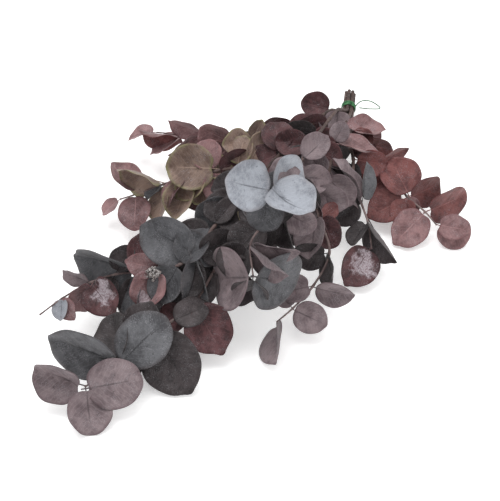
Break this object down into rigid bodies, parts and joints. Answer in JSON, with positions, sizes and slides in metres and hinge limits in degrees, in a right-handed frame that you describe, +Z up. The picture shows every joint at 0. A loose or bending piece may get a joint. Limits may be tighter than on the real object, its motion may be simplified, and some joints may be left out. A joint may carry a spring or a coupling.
{
  "type": "eucalyptus branch bunch",
  "caption": "Bunch of preserved round-leaf eucalyptus branches lying on its side, the bare cut stem ends bound together with thin green wire and the leafy tips fanned out.",
  "frame": {"origin": "on the table, under the middle of the bunch", "axes": "+Y from the leafy tips to the cut stem ends, +Z up from the table, +X across the bunch"},
  "size_m": [0.4752, 0.6802, 0.2008],
  "materials": {
    "stem": "dry bark",
    "wire": "thin green coat",
    "taupe": "matte, faint waxy bloom",
    "grey": "matte, blue-grey bloom",
    "dark": "matte, in the shade of the bunch",
    "wine": "satin, dyed wine red",
    "rose": "matte, pale rose",
    "brick": "matte, brick red",
    "olive": "matte, green-brown",
    "silver": "matte, thick silvery bloom"
  },
  "bodies": {
    "root": {"stem_centre": "stem", "stem_front": "stem", "stem_front_left": "stem", "stem_right": "stem", "stem_left": "stem", "stem_left_far": "stem", "stem_right_low": "stem", "stem_right_droop": "stem", "tie_wire": "wire", "leaf_centre_1": "taupe", "leaf_centre_2": "taupe", "leaf_centre_3": "grey", "leaf_centre_4": "silver", "leaf_centre_5": "silver", "leaf_centre_6": "silver", "leaf_front_1": "wine", "leaf_front_2": "dark", "leaf_front_3": "grey", "leaf_front_4": "grey", "leaf_front_5": "taupe", "leaf_front_6": "taupe", "leaf_front_7": "taupe", "leaf_front_left_1": "taupe", "leaf_front_left_2": "wine", "leaf_front_left_3": "taupe", "leaf_front_left_4": "grey", "leaf_front_left_5": "grey", "leaf_front_left_6": "rose", "leaf_front_left_7": "grey", "leaf_front_left_8": "grey", "leaf_front_left_9": "wine", "leaf_front_left_10": "rose", "leaf_right_1": "wine", "leaf_right_2": "brick", "leaf_right_3": "brick", "leaf_right_4": "brick", "leaf_right_5": "brick", "leaf_right_6": "rose", "leaf_right_7": "brick", "leaf_right_8": "rose", "leaf_left_1": "olive", "leaf_left_2": "olive", "leaf_left_3": "olive", "leaf_left_far_1": "wine", "leaf_left_far_2": "olive", "leaf_left_far_3": "rose", "leaf_left_far_4": "rose", "leaf_left_far_5": "brick", "leaf_right_low_1": "rose", "leaf_right_low_2": "rose", "leaf_right_low_3": "taupe", "leaf_right_low_4": "taupe", "leaf_right_low_5": "taupe", "leaf_right_low_6": "wine", "leaf_right_low_7": "taupe", "leaf_right_low_8": "taupe", "leaf_right_droop_1": "taupe", "leaf_right_droop_2": "grey", "leaf_right_droop_3": "dark", "leaf_right_droop_4": "wine"}
  },
  "joints": []
}
